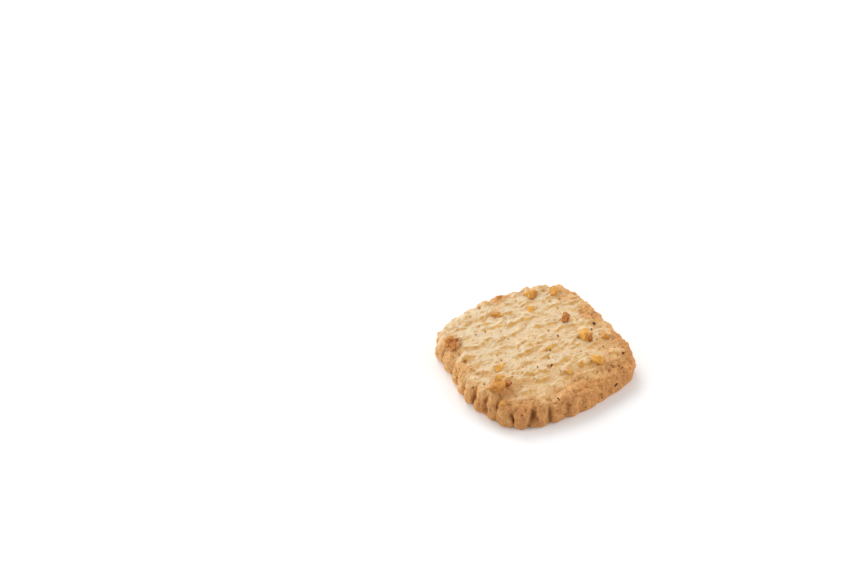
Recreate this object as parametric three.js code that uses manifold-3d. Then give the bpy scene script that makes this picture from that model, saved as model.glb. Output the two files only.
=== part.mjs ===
// Nut biscuit: a square shortbread with rounded corners and a fluted edge, chopped hazelnut in its dough.
// Millimetres, +Z up. The origin is at the middle of the underside, and the sides run along X and Y.

import * as THREE from "three";
import { ConvexGeometry } from "three/addons/geometries/ConvexGeometry.js";
import { ImprovedNoise } from "three/addons/math/ImprovedNoise.js";
import { mergeVertices } from "three/addons/utils/BufferGeometryUtils.js";
import Module from "manifold-3d";

// Outline, seen from above
const SIDE = 49.4; // between opposite sides, halfway into the flutes
const CORNER_POWER = 3.6; // 2 is a circle, and a higher power has sharper corners
const OUTLINE_WAVES = [
  { count: 2, size: 0.0095, turn: 65 },
  { count: 3, size: 0.0045, turn: -100 },
  { count: 4, size: 0.007, turn: 0 },
  { count: 5, size: 0.008, turn: -150 },
  { count: 6, size: 0.0095, turn: 153 },
  { count: 7, size: 0.005, turn: -124 },
  { count: 8, size: 0.01, turn: 27 },
]; // how the soft dough strayed from a true square, as shares of the radius

// Edge, from the underside up
const FOOT = 0.9; // radius of the rounded lower edge
const RIM_HEIGHT = 8.1; // where the rounded upper edge meets the top
const SHOULDER = 4.5; // radius of the rounded upper edge
const DOME = 0.5; // rise of the top from there to the middle

// Flutes around the edge
const FLUTES = 32;
const FLUTE_DEPTH = 1.0;
const FLUTE_START = 2.3; // angle of the first groove from +X, degrees
const FLUTE_ROUNDNESS = 1.1; // below 1 the lobes are full and the grooves narrow
const LOBE_MEAN = 0.62; // mean of a lobe's height, so that SIDE stays halfway
const FLUTE_FULL = 5.2; // the flutes are at full depth up to this height
const FLUTE_END = 9.2; // and would be gone at this one
const FLUTE_SOFTNESS = [
  { count: 1, size: 0.29, turn: 140 },
  { count: 2, size: 0.3, turn: 61 },
  { count: 3, size: 0.154, turn: -11 },
  { count: 4, size: 0.079, turn: -116 },
]; // how the depth changes around the edge, shallow where it slumped
const FLUTE_LEAST = 0.45; // and no shallower than this share
const FLUTE_DRIFT = [
  { count: 1, size: 1.6, turn: 135 },
  { count: 2, size: 1.45, turn: -35 },
  { count: 3, size: 1.1, turn: 154 },
]; // how the grooves stray from even spacing, degrees
const DRIFT_PASSES = 5; // the drift depends on the angle that it gives, so it is worked out again

// Torn ripples that the cutting wire left across the top
const TEAR_LENGTH = 7.5; // along X
const TEAR_WIDTH = 2.3; // across, along Y
const TEAR_HEIGHT = 0.75;
const TEAR_DRIFT = 2.4; // how far a ripple wanders across its run
const TEAR_DRIFT_LENGTH = 16;
const TEAR_DRIFT_SLICE = 0.5; // a slice of the noise apart from the ripples' own
const RELIEF_INNER = 0.84; // the relief is whole inside this share of the outline
const RELIEF_OUTER = 0.97; // and is gone at this one

// Where the top sank along a line: from, to, how far it reaches to the sides and how deep it is
const HOLLOWS = [
  { from: [-17, -18.8], to: [13, -20.2], reach: 4.6, depth: 1.3 },
  { from: [-18, -14.8], to: [-7, -14], reach: 2.8, depth: 0.9 },
  { from: [12, -10.2], to: [17.5, -10.6], reach: 2.4, depth: 0.5 },
  { from: [20.5, -14], to: [21.5, 2], reach: 3.6, depth: 0.5 },
];

// Chopped hazelnut that shows on the top, largest first; proud is how far it stands out of the dough
const NUTS = [
  { x: 13.8, y: -5.4, long: 5.2, wide: 4.6, turn: 80, proud: 1.9 },
  { x: -18.9, y: -10.9, long: 6, wide: 3.8, turn: 5, proud: 1.7 },
  { x: 10.5, y: 18.7, long: 4.6, wide: 3.8, turn: 30, proud: 1.4 },
  { x: -21.2, y: 13, long: 4.6, wide: 3.6, turn: 60, proud: 1 },
  { x: 11.5, y: -15.4, long: 4.8, wide: 3.4, turn: 100, proud: 1.2 },
  { x: 13, y: 3.6, long: 5, wide: 3.2, turn: 65, proud: 1.3 },
  { x: -2.8, y: 16, long: 4.6, wide: 3, turn: -20, proud: 0.9 },
  { x: 16.7, y: 15.9, long: 3.8, wide: 3.2, turn: 0, proud: 1.1 },
  { x: -14.6, y: -4, long: 4.8, wide: 2.4, turn: 10, proud: 0.6 },
  { x: -17.8, y: -8.4, long: 4, wide: 2.8, turn: 12, proud: 1.3 },
  { x: -21.6, y: 10.4, long: 3.6, wide: 2.6, turn: 20, proud: 0.8 },
  { x: 6.8, y: 12.2, long: 3.8, wide: 2.2, turn: 70, proud: 0.6 },
  { x: -21, y: -15.8, long: 3, wide: 2.6, turn: 45, proud: 0.55 },
  { x: 17, y: 12.8, long: 3, wide: 2.4, turn: 30, proud: 0.5 },
  { x: 18.4, y: -7.4, long: 3.2, wide: 2.2, turn: 75, proud: 0.5 },
  { x: 5.8, y: -14.6, long: 2.8, wide: 2.2, turn: 40, proud: 0.6 },
  { x: -19.7, y: 12.2, long: 2.6, wide: 2.1, turn: 0, proud: 0.9 },
  { x: 2, y: -5, long: 3, wide: 1.6, turn: 10, proud: 0.5 },
  { x: -15.8, y: -11.4, long: 2.4, wide: 1.9, turn: 100, proud: 1 },
  { x: 2.5, y: 22.6, long: 2.6, wide: 1.6, turn: 0, proud: 0.4 },
  { x: 1.8, y: -16.4, long: 2.2, wide: 1.7, turn: 80, proud: 0.35 },
];
const NUT_POINTS = 14; // corners of a chopped piece, spread by the golden angle
const GOLDEN_ANGLE = 137.508;
const NUT_JITTER = 0.35; // how far they stray on the piece's surface, as a share of its radius
const NUT_TALL = 0.85; // height of a piece as a share of its width
const MOUND = 0.3; // the dough's rise around a piece
const MOUND_REACH = 0.6; // and how far it reaches, as a share of the piece's length
const NUT_SEED = 7;

// Mesh density
const COLUMNS_PER_FLUTE = 6;
const FOOT_STEPS = 2;
const SHOULDER_STEPS = 7;
const TOP_STEPS = 18; // rings from the rim to the middle
const HALVINGS = [0.62, 0.36, 0.18]; // shares of the outline where the columns halve
const UNDERSIDE_SHARES = [0.9, 0.72, 0.48, 0.24]; // each ring has half of the columns of the last

const BISCUIT_COLOUR = 0xdcb582;

const HALF = SIDE / 2;
const TOP_SHARE = 1 - SHOULDER / HALF;
const COLUMNS = FLUTES * COLUMNS_PER_FLUTE;
const { degToRad, smoothstep } = THREE.MathUtils;
const noise = new ImprovedNoise();
const wasm = await Module();
wasm.setup();

function waveSum(waves, angle) {
  return waves.reduce((sum, wave) => sum + wave.size * Math.cos(wave.count * angle - degToRad(wave.turn)), 0);
}

function outlineRadius(angle) {
  const across = Math.abs(Math.cos(angle)) ** CORNER_POWER;
  const along = Math.abs(Math.sin(angle)) ** CORNER_POWER;
  return HALF * (across + along) ** (-1 / CORNER_POWER) * (1 + waveSum(OUTLINE_WAVES, angle));
}

// The angle of a column of points; every COLUMNS_PER_FLUTE-th column is a groove
function columnAngle(column) {
  const even = degToRad(FLUTE_START + (360 * column) / COLUMNS);
  let angle = even;
  for (let pass = 0; pass < DRIFT_PASSES; pass++) {
    angle = even + degToRad(waveSum(FLUTE_DRIFT, angle));
  }
  return angle;
}

function fluteOffset(column, angle, height) {
  const lobe = Math.abs(Math.sin((Math.PI * column) / COLUMNS_PER_FLUTE)) ** FLUTE_ROUNDNESS;
  const depth = FLUTE_DEPTH * Math.max(FLUTE_LEAST, 1 + waveSum(FLUTE_SOFTNESS, angle));
  return depth * (lobe - LOBE_MEAN) * (1 - smoothstep(height, FLUTE_FULL, FLUTE_END));
}

// Height of the smooth top and shoulder at a share of the outline
function smoothHeight(share) {
  const inset = Math.max(0, (1 - share) * HALF);
  if (inset >= SHOULDER) return RIM_HEIGHT + DOME * (1 - (share / TOP_SHARE) ** 2);
  return RIM_HEIGHT - SHOULDER + Math.sqrt(SHOULDER ** 2 - (SHOULDER - inset) ** 2);
}

// Rise of the torn, lumpy dough over the smooth form
function relief(x, y, share) {
  const drift = TEAR_DRIFT * noise.noise(x / TEAR_DRIFT_LENGTH, y / TEAR_DRIFT_LENGTH, TEAR_DRIFT_SLICE);
  let rise = TEAR_HEIGHT * noise.noise(x / TEAR_LENGTH, (y + drift) / TEAR_WIDTH, 0);
  for (const nut of NUTS) {
    const distance = Math.hypot(x - nut.x, y - nut.y);
    rise += MOUND * Math.exp(-((distance / (MOUND_REACH * nut.long)) ** 2));
  }
  const spot = new THREE.Vector3(x, y, 0);
  for (const hollow of HOLLOWS) {
    const run = new THREE.Line3(new THREE.Vector3(...hollow.from), new THREE.Vector3(...hollow.to));
    const nearest = run.closestPointToPoint(spot, true, new THREE.Vector3());
    rise -= hollow.depth * Math.exp(-((nearest.distanceTo(spot) / hollow.reach) ** 2));
  }
  return rise * (1 - smoothstep(share, RELIEF_INNER, RELIEF_OUTER));
}

function topHeight(x, y) {
  const share = Math.hypot(x, y) / outlineRadius(Math.atan2(y, x));
  return smoothHeight(share) + relief(x, y, share);
}

// One ring of points on the outline scaled by a share; `every` leaves out columns towards the middle
function ring(share, every, heightAt) {
  const points = [];
  for (let column = 0; column < COLUMNS; column += every) {
    const angle = columnAngle(column);
    const plain = outlineRadius(angle) * share;
    const height = heightAt(plain * Math.cos(angle), plain * Math.sin(angle));
    const radius = plain + fluteOffset(column, angle, height) * share;
    points.push(new THREE.Vector3(radius * Math.cos(angle), radius * Math.sin(angle), height));
  }
  return points;
}

// Rings from the middle of the underside, out, up the edge and in to the middle of the top
function doughRings() {
  const rings = [];
  UNDERSIDE_SHARES.forEach((share, step) => rings.unshift(ring(share, 2 ** (step + 1), () => 0)));
  for (let step = 0; step <= FOOT_STEPS; step++) {
    const angle = (Math.PI / 2) * (step / FOOT_STEPS);
    const height = FOOT * (1 - Math.cos(angle));
    rings.push(ring(1 - (FOOT * (1 - Math.sin(angle))) / HALF, 1, () => height));
  }
  for (let step = 0; step < SHOULDER_STEPS; step++) {
    const angle = (Math.PI / 2) * (step / SHOULDER_STEPS);
    rings.push(ring(1 - (SHOULDER * (1 - Math.cos(angle))) / HALF, 1, topHeight));
  }
  for (let step = 0; step < TOP_STEPS; step++) {
    const share = TOP_SHARE * (1 - step / TOP_STEPS);
    const halvings = HALVINGS.filter((limit) => share < limit).length;
    rings.push(ring(share, 2 ** halvings, topHeight));
  }
  return rings;
}

// Triangles between two rings; one of them may have half of the other's points
function bandTriangles(lower, lowerStart, upper, upperStart) {
  const triangles = [];
  const lowerStep = lower.length < upper.length ? 0.5 : 1;
  const upperStep = upper.length < lower.length ? 0.5 : 1;
  const count = Math.max(lower.length, upper.length);
  for (let i = 0; i < count; i++) {
    const low = lowerStart + (Math.floor(i * lowerStep) % lower.length);
    const nextLow = lowerStart + (Math.floor((i + 1) * lowerStep) % lower.length);
    const high = upperStart + (Math.floor(i * upperStep) % upper.length);
    const nextHigh = upperStart + (Math.floor((i + 1) * upperStep) % upper.length);
    if (low !== nextLow) triangles.push(low, nextLow, high);
    if (high !== nextHigh) triangles.push(nextLow, nextHigh, high);
  }
  return triangles;
}

function doughGeometry() {
  const rings = doughRings();
  const points = rings.flat();
  const starts = [];
  let start = 0;
  for (const ring of rings) {
    starts.push(start);
    start += ring.length;
  }
  const triangles = [];
  for (let i = 0; i + 1 < rings.length; i++) {
    triangles.push(...bandTriangles(rings[i], starts[i], rings[i + 1], starts[i + 1]));
  }
  const last = rings.length - 1;
  const underside = points.push(new THREE.Vector3(0, 0, 0)) - 1;
  const summit = points.push(new THREE.Vector3(0, 0, topHeight(0, 0))) - 1;
  rings[0].forEach((_, i) => triangles.push(underside, (i + 1) % rings[0].length, i));
  rings[last].forEach((_, i) => {
    triangles.push(summit, starts[last] + i, starts[last] + ((i + 1) % rings[last].length));
  });
  return new THREE.BufferGeometry().setFromPoints(points).setIndex(triangles);
}

// A chopped piece: the hull of points spread on an ellipsoid, sunk into the dough
function nutGeometry(nut) {
  const points = [];
  const tall = nut.wide * NUT_TALL;
  const turned = new THREE.Matrix4().makeRotationZ(degToRad(nut.turn));
  for (let i = 0; i < NUT_POINTS; i++) {
    const level = 1 - (2 * i + 1) / NUT_POINTS;
    const around = degToRad(i * GOLDEN_ANGLE);
    const belt = Math.sqrt(1 - level ** 2);
    const point = new THREE.Vector3(belt * Math.cos(around), belt * Math.sin(around), level);
    const stray = () => NUT_JITTER * (THREE.MathUtils.seededRandom() * 2 - 1);
    point.add(new THREE.Vector3(stray(), stray(), stray())).normalize();
    point.multiply(new THREE.Vector3(nut.long / 2, nut.wide / 2, tall / 2)).applyMatrix4(turned);
    points.push(point);
  }
  const geometry = new ConvexGeometry(points);
  return geometry.translate(nut.x, nut.y, topHeight(nut.x, nut.y) + nut.proud - tall / 2);
}

function toSolid(geometry) {
  geometry.deleteAttribute("normal");
  geometry.deleteAttribute("uv");
  const merged = mergeVertices(geometry);
  const vertProperties = new Float32Array(merged.attributes.position.array);
  const triVerts = new Uint32Array(merged.index.array);
  return new wasm.Manifold(new wasm.Mesh({ numProp: 3, vertProperties, triVerts }));
}

function toGeometry(solid) {
  const mesh = solid.getMesh();
  const geometry = new THREE.BufferGeometry();
  geometry.setAttribute("position", new THREE.BufferAttribute(new Float32Array(mesh.vertProperties), 3));
  geometry.setIndex(new THREE.BufferAttribute(new Uint32Array(mesh.triVerts), 1));
  geometry.computeVertexNormals();
  return geometry;
}

function biscuitGeometry() {
  THREE.MathUtils.seededRandom(NUT_SEED);
  let solid = toSolid(doughGeometry());
  for (const nut of NUTS) {
    solid = solid.add(toSolid(nutGeometry(nut)));
  }
  const geometry = toGeometry(solid);
  geometry.computeBoundingBox();
  const middle = geometry.boundingBox.getCenter(new THREE.Vector3());
  return geometry.translate(-middle.x, -middle.y, 0);
}

const biscuit = new THREE.Mesh(
  biscuitGeometry(),
  new THREE.MeshStandardMaterial({ color: BISCUIT_COLOUR, roughness: 0.85, metalness: 0 }),
);
biscuit.name = "biscuit";

const part = new THREE.Group();
part.add(biscuit);

export default part;
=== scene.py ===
# Looks of the nut biscuit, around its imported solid. Sizes in the dictionaries are in millimetres and degrees.
import functools
import math

import bmesh
import bpy
import numpy as np
from mathutils import Matrix, Vector


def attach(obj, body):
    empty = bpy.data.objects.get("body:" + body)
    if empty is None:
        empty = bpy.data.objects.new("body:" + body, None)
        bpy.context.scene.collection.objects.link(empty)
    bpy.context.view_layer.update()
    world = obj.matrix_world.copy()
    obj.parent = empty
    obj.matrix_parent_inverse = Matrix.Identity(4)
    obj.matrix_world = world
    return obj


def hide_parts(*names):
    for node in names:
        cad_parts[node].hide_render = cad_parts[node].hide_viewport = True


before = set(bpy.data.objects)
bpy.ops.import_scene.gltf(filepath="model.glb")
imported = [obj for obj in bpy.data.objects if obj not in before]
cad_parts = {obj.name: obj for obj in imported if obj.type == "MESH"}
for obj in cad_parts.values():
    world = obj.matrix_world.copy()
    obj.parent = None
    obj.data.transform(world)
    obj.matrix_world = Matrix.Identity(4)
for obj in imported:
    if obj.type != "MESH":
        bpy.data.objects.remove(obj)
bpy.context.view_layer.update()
mm = 0.001
noiseMean = 0.5  # every noise texture swings about this value
up = (0, 0, 1)
white = (1, 1, 1, 1)
smoothly = {"interpolation_type": "SMOOTHSTEP"}  # for ranges with soft ends


def linear(hexColour):  # an sRGB hex value as the linear colour that Blender's sockets take
    channels = [int(hexColour[i:i + 2], 16) / 255 for i in (1, 3, 5)]
    return (*(c / 12.92 if c <= 0.04045 else ((c + 0.055) / 1.055) ** 2.4 for c in channels), 1.0)


def perMetre(size):  # scale of a pattern whose marks are this many millimetres apart
    return 1 / (size * mm)


# Adds one node. A kind without a prefix is a shader node, and a node as an input stands for its first output.
def addNode(tree, kind, inputs=(), **settings):
    made = tree.nodes.new(kind if "Node" in kind else "ShaderNode" + kind)
    for name, value in settings.items():
        setattr(made, name, value)
    for key, value in inputs.items() if isinstance(inputs, dict) else enumerate(inputs):
        source = value.outputs[0] if isinstance(value, bpy.types.Node) else value
        if isinstance(source, bpy.types.NodeSocket):
            tree.links.new(source, made.inputs[key])
        else:
            made.inputs[key].default_value = source
    return made


def newMaterial(name):  # an empty material, and what adds a node to it
    material = bpy.data.materials.new(name)
    material.use_nodes = True
    material.node_tree.nodes.clear()
    return material, functools.partial(addNode, material.node_tree)


def newTree(name, inputs):  # an empty tree, what adds a node to it, and its named inputs
    tree = bpy.data.node_groups.new(name, "GeometryNodeTree")
    tree.interface.new_socket("Geometry", in_out="OUTPUT", socket_type="NodeSocketGeometry")
    for label, value in inputs.items():
        kind = {float: "Float", int: "Int"}.get(type(value)) or value.bl_rna.identifier
        tree.interface.new_socket(label, in_out="INPUT", socket_type="NodeSocket" + kind)
    put = functools.partial(addNode, tree)
    return tree, put, put("NodeGroupInput").outputs


def growMesh(name, tree, inputs):  # runs a tree and keeps what it makes as a plain mesh
    piece = bpy.data.objects.new(name, bpy.data.meshes.new(name))
    bpy.context.scene.collection.objects.link(piece)
    modifier = piece.modifiers.new(tree.name, "NODES")
    modifier.node_group = tree
    for socket in tree.interface.items_tree:
        if socket.in_out == "INPUT":
            modifier[socket.identifier] = inputs[socket.name]
    depsgraph = bpy.context.evaluated_depsgraph_get()
    grown = bpy.data.meshes.new_from_object(piece.evaluated_get(depsgraph), depsgraph=depsgraph)
    piece.modifiers.clear()
    piece.data = grown
    return piece


def pointCloud(name, places, columns):  # loose points with named attributes, for a tree to read
    mesh = bpy.data.meshes.new(name)
    mesh.vertices.add(len(places))
    mesh.vertices.foreach_set("co", np.array(places, float).ravel())
    for label, column in columns.items():
        values = np.array(column, float)
        kind, field = ("FLOAT_VECTOR", "vector") if values.ndim > 1 else ("FLOAT", "value")
        mesh.attributes.new(label, kind, "POINT").data.foreach_set(field, values.ravel())
    cloud = bpy.data.objects.new(name, mesh)
    cloud.hide_render = True
    return cloud


# Baked shortbread: a dry, sandy, matt dough. The torn top stays pale, and the golden on its slopes that face
# the front and the ochre in its hollows are painted shade. The thin edge browns first, so the flutes are golden
# brown, with painted shade darkening their grooves.
shortbread = {
    "crest": "#DECAA9",
    "top": "#E1C49C",
    # ochre of the top's hollows: painted shade
    "hollow": "#CE9A50",
    # golden of the slopes that face the front, away from the window: painted shade
    "golden": "#E4B269",
    # pit: painted shade in the deepest hollows and pores
    "pit": "#BC7416",
    "rim": "#DBA86E",
    "wall": "#D0945A",
    # groove: painted shade in the flutes' grooves and the wall's pits
    "groove": "#8C5828",
    "grainTint": (0.7, 1.05, 1.3),  # dark grains are warmer and light ones paler than the dough
    # Patterns: size, detail and roughness
    "blotch": (6.0, 4.0, 0.5),  # patches where the oven browned more
    "mottle": (1.8, 3.0, 0.5),  # thicker and thinner dough
    "speckle": (0.5, 4.0, 0.7),  # flour and bran specks
    "grit": (0.3, 4.0, 0.6),  # sandy grain that shows as bump
    "gritDepth": 0.32,
    # Browner and darker towards the front
    "frontWay": (0.26, -0.97, 0.0),
    "topFront": -0.18,
    "rimFront": 0.15,
    # Tone of the top: gain and offset of what goes into it, and where its colours stand; low relief takes the
    # painted shade of the hollows
    "topRelief": (0.55, 0.39),
    "topBlotch": (1.0, -0.5),
    "topFlour": (0.9, -0.4),
    "hollowTone": 0.08,
    "topTone": 0.62,
    "goldenSlopes": (0.02, -0.55),  # painted shade, from flat to steep, on slopes that face the front, away from the window
    "poreRelief": (0.32, 0.1, 0.0, 0.95),  # painted shade in pores and the deepest hollows: from, to, least and most
    # Browning, by rings from 0 in the middle of the top to 1 on the underside
    "rimBlotch": (0.9, -0.45),
    "rimOil": 0.2,
    "rimEnds": (0.49, 0.74),
    "wallEnds": (0.68, 0.90),
    "wallFront": (-0.3, 0.2, 0.1),  # the back and left walls stay nearer to the rim's colour
    # painted shade in the wall's pits: from, to, least and most
    "wallPits": (0.5, 0.1, 0.0, 0.7),
    "cornerWay": (-0.71, -0.71, 0.0),  # the front corner is darker, with more painted shade in its grooves
    "cornerEnds": (20, 27),
    "cornerMost": 0.17,
    "grooveShare": (2.0, 0.48),
    # How far grains and mottle swing the colour: what the rim adds, and what the top has
    "grainSwing": (0.95, 0.38),
    "mottleSwing": (0.35, 0.45),
    "surface": {"Roughness": 0.85, "IOR": 1.45, "Specular IOR Level": 0.25, "Subsurface Weight": 0.15,
                "Subsurface Radius": (1.0, 0.55, 0.25), "Subsurface Scale": 0.5 * mm},
}


def bakedShortbread():
    material, put = newMaterial("baked_shortbread")
    spot = put("TexCoord").outputs["Object"]
    ring, relief, flute, slope, oily = (put("Attribute", attribute_name=name).outputs["Fac"]
                                        for name in ("ring", "relief", "flute", "slope", "oily"))
    blotch, mottle, speckle, grit = (
        put("TexNoise", {"Vector": spot, "Scale": perMetre(size), "Detail": detail, "Roughness": rough})
        for size, detail, rough in (shortbread[name] for name in ("blotch", "mottle", "speckle", "grit")))
    lean = put("VectorMath", [spot, shortbread["frontWay"]], operation="DOT_PRODUCT").outputs["Value"]
    leanShare = put("Math", [lean, dough["side"] / 2 * mm], operation="DIVIDE")
    # Top: toned by the height of the relief, which paints shade into the hollows, the patches, a lean to the
    # front and the flour
    mottled = put("Math", [blotch, *shortbread["topBlotch"]], operation="MULTIPLY_ADD")
    sunk = put("Math", [relief, *shortbread["topRelief"]], operation="MULTIPLY_ADD")
    patched = put("Math", [sunk, mottled], operation="ADD")
    faced = put("Math", [leanShare, shortbread["topFront"], patched], operation="MULTIPLY_ADD")
    flour = put("Math", [speckle, *shortbread["topFlour"]], operation="MULTIPLY_ADD")
    sanded = put("Math", [flour, faced], operation="ADD")
    top = put("ValToRGB", [sanded])
    tones = top.color_ramp.elements
    tones[0].position = shortbread["hollowTone"]
    tones[0].color = linear(shortbread["hollow"])
    tones[1].color = linear(shortbread["crest"])
    tones.new(shortbread["topTone"]).color = linear(shortbread["top"])
    # Slopes that face the front, away from the window, take a painted golden shade
    slopeShadeShare = put("MapRange", [slope, *shortbread["goldenSlopes"]])
    # Inputs 6 and 7 of a colour mix are its two colours, and output 2 is what it makes
    slopeShaded = put("Mix", {0: slopeShadeShare, 6: top, 7: linear(shortbread["golden"])}, data_type="RGBA")
    # Pores and the deepest hollows take painted shade
    poreShare = put("MapRange", [relief, *shortbread["poreRelief"]])
    pored = put("Mix", {0: poreShare, 6: slopeShaded.outputs[2], 7: linear(shortbread["pit"])}, data_type="RGBA")
    # Edge: browner down the wall, round oily nuts and towards the front, darker at the front corner, with
    # painted shade in the grooves and the wall's pits
    leant = put("Math", [leanShare, shortbread["rimFront"], ring], operation="MULTIPLY_ADD")
    patchy = put("Math", [blotch, *shortbread["rimBlotch"]], operation="MULTIPLY_ADD")
    baked = put("Math", [patchy, leant], operation="ADD")
    browned = put("Math", [oily, shortbread["rimOil"], baked], operation="MULTIPLY_ADD")
    rimShare = put("MapRange", [browned, *shortbread["rimEnds"]], **smoothly)
    wallShare = put("MapRange", [browned, *shortbread["wallEnds"]], **smoothly)
    frontShare = put("MapRange", [leanShare, *shortbread["wallFront"]])
    wallFront = put("Math", [wallShare, frontShare], operation="MULTIPLY")
    edge = put("Mix", {0: wallFront, 6: linear(shortbread["rim"]), 7: linear(shortbread["wall"])},
               data_type="RGBA")
    pitShare = put("MapRange", [relief, *shortbread["wallPits"]])
    cornerWay = put("VectorMath", [spot, shortbread["cornerWay"]], operation="DOT_PRODUCT")
    cornerEnds = (reach * mm for reach in shortbread["cornerEnds"])
    cornerShare = put("MapRange", [cornerWay.outputs["Value"], *cornerEnds, 0.0, shortbread["cornerMost"]])
    deepening = put("Math", [cornerShare, *shortbread["grooveShare"]], operation="MULTIPLY_ADD")
    grooveShare = put("Math", [flute, deepening], operation="MULTIPLY")
    pitted = put("Math", [grooveShare, pitShare], operation="MAXIMUM")
    dark = put("Math", [pitted, cornerShare], operation="MAXIMUM")
    fluted = put("Mix", {0: dark, 6: edge.outputs[2], 7: linear(shortbread["groove"])}, data_type="RGBA")
    toned = put("Mix", {0: rimShare, 6: pored.outputs[2], 7: fluted.outputs[2]}, data_type="RGBA")
    # Flour and bran: lighter and darker grains all over, in uneven patches
    swing = put("Math", [rimShare, *shortbread["grainSwing"]], operation="MULTIPLY_ADD")
    centred = put("Math", [speckle, noiseMean], operation="SUBTRACT")
    grainy = put("Math", [centred, swing, 1.0], operation="MULTIPLY_ADD")
    cloudSwing = put("Math", [rimShare, *shortbread["mottleSwing"]], operation="MULTIPLY_ADD")
    thick = put("Math", [mottle, noiseMean], operation="SUBTRACT")
    cloudy = put("Math", [thick, cloudSwing, 1.0], operation="MULTIPLY_ADD")
    uneven = put("Math", [grainy, cloudy], operation="MULTIPLY")
    stray = put("Math", [uneven, 1.0], operation="SUBTRACT")
    tint = put("VectorMath", [stray, shortbread["grainTint"], (1, 1, 1)], operation="MULTIPLY_ADD")
    shaded = put("VectorMath", [toned.outputs[2], tint], operation="MULTIPLY")
    bump = put("Bump", {"Height": grit, "Distance": shortbread["gritDepth"] * mm})
    shader = put("BsdfPrincipled", {"Base Color": shaded, "Normal": bump, **shortbread["surface"]})
    put("OutputMaterial", {"Surface": shader})
    return material


# Dough: a flat grid whose square rings become rings of the biscuit, from the middle of the top out and down
dough = {
    "gridPoints": 300,  # a side, even so that none is in the very middle
    "side": 49.4,  # between opposite sides, halfway into the flutes
    "cornerPower": 3.6,  # 2 is a circle, and a higher power has sharper corners
    "outlineWaves": [(2, 0.0095, 65), (3, 0.0045, -100), (4, 0.007, 0), (5, 0.008, -150), (6, 0.0095, 153),
                     (7, 0.005, -124), (8, 0.01, 27)],  # count, share, turn
    "foot": 0.9,
    "rimHeight": 8.1,
    "shoulder": 4.5,
    "dome": 0.5,
    "underside": 2.0,  # width of the strip where the grid ends under the biscuit
    "roundingPoints": 16,
    # Flutes
    "flutes": 32,
    "fluteStart": 2.3,
    "fluteRoundness": 1.1,
    "lobeMean": 0.62,
    "fluteFull": 5.2,  # full depth up to this height
    "fluteEnd": 9.2,
    "fluteSoftness": [(1, 0.29, 140), (2, 0.3, 61), (3, 0.154, -11), (4, 0.079, -116)],  # uneven slumping
    "fluteLeast": 0.45,
    "fluteDrift": [(1, 1.6, 135), (2, 1.45, -35), (3, 1.1, 154)],  # count, degrees, turn
    "bendPatches": 3.5,  # patches a half side where the grooves bend
    "bend": (0.15, -0.075),  # gain and offset in radians
    "depthPatches": 5.0,  # patches a half side of deeper and shallower flutes
    "depthRange": (0.3, 0.7, 0.3, 1.5),
    "patchDetail": 1.0,
    "lobeTops": (-3.6, 2.2),  # how the patches raise or lower the upper ends of the flutes
    "grooveLobe": 0.55,  # lobes lower than this count as groove
    "grooveLeast": 0.55,
    # Relief, and the rings where it starts and ends
    "topEnds": (0.64, 0.82),
    "tearLean": (0.0, 0.8, 0.0),  # lumps lean to the front
    "tearLevels": (0.42, 0.7, -0.7, 0.3),  # from noise to height, so that lumps stand apart
    "tearDetail": 2.4,
    "lumpNoise": {"Detail": 4.0, "Roughness": 0.55},
    "lumpStretch": (0.8, 1.0, 1.0),
    "lumpEnds": (0.62, 0.8, 1.0, 3.2),  # and so many times higher on the wall
    "slumpStretch": (1.0, 1.0, 0.5),
    "slumpEnds": (0.5, 0.7),
    "crumbMiddle": 0.45,
    "poreEdge": (0.06, 0.2),  # shares of the spacing
    "poreLimit": (0.5, 0.75, 0.55, 0.4),  # fewer on the top than on the wall
    "footEnds": (0.9, 0.94),
    # What the material reads of the relief
    "hollowWeight": 0.22,
    "reliefBlur": 60,
    "reliefLevels": (-0.45, 0.25),
    "oilReach": (1.2, 4.2),  # browned dough round the well roasted nuts
    "weld": 0.002,
    # What its tree takes as named inputs
    "sizes": {"Flute Depth": 1.0, "Tear Length": 4.0, "Tear Width": 2.5, "Tear Height": 0.78,
              "Lump Size": 1.4, "Lump Height": 0.48, "Slump Size": 2.6, "Slump Height": 2.0,
              "Crumb Size": 0.6, "Crumb Height": 0.13, "Pore Spacing": 2.4, "Pore Depth": 0.6},
}


def profileCurve():  # half of the section, from the middle of the top to the underside, with corner radii
    half = dough["side"] / 2
    summit = dough["rimHeight"] + dough["dome"]
    corners = [(0, summit, 0), (half, dough["rimHeight"], dough["shoulder"]), (half, 0, dough["foot"]),
               (half - dough["underside"], 0, 0)]
    curve = bpy.data.curves.new("dough_profile", "CURVE")
    curve.dimensions = "3D"
    spline = curve.splines.new("POLY")
    spline.points.add(len(corners) - 1)
    for point, (across, height, radius) in zip(spline.points, corners):
        point.co = (across * mm, 0, height * mm, 1)
        point.radius = radius * mm
    return bpy.data.objects.new("dough_profile", curve)


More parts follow.
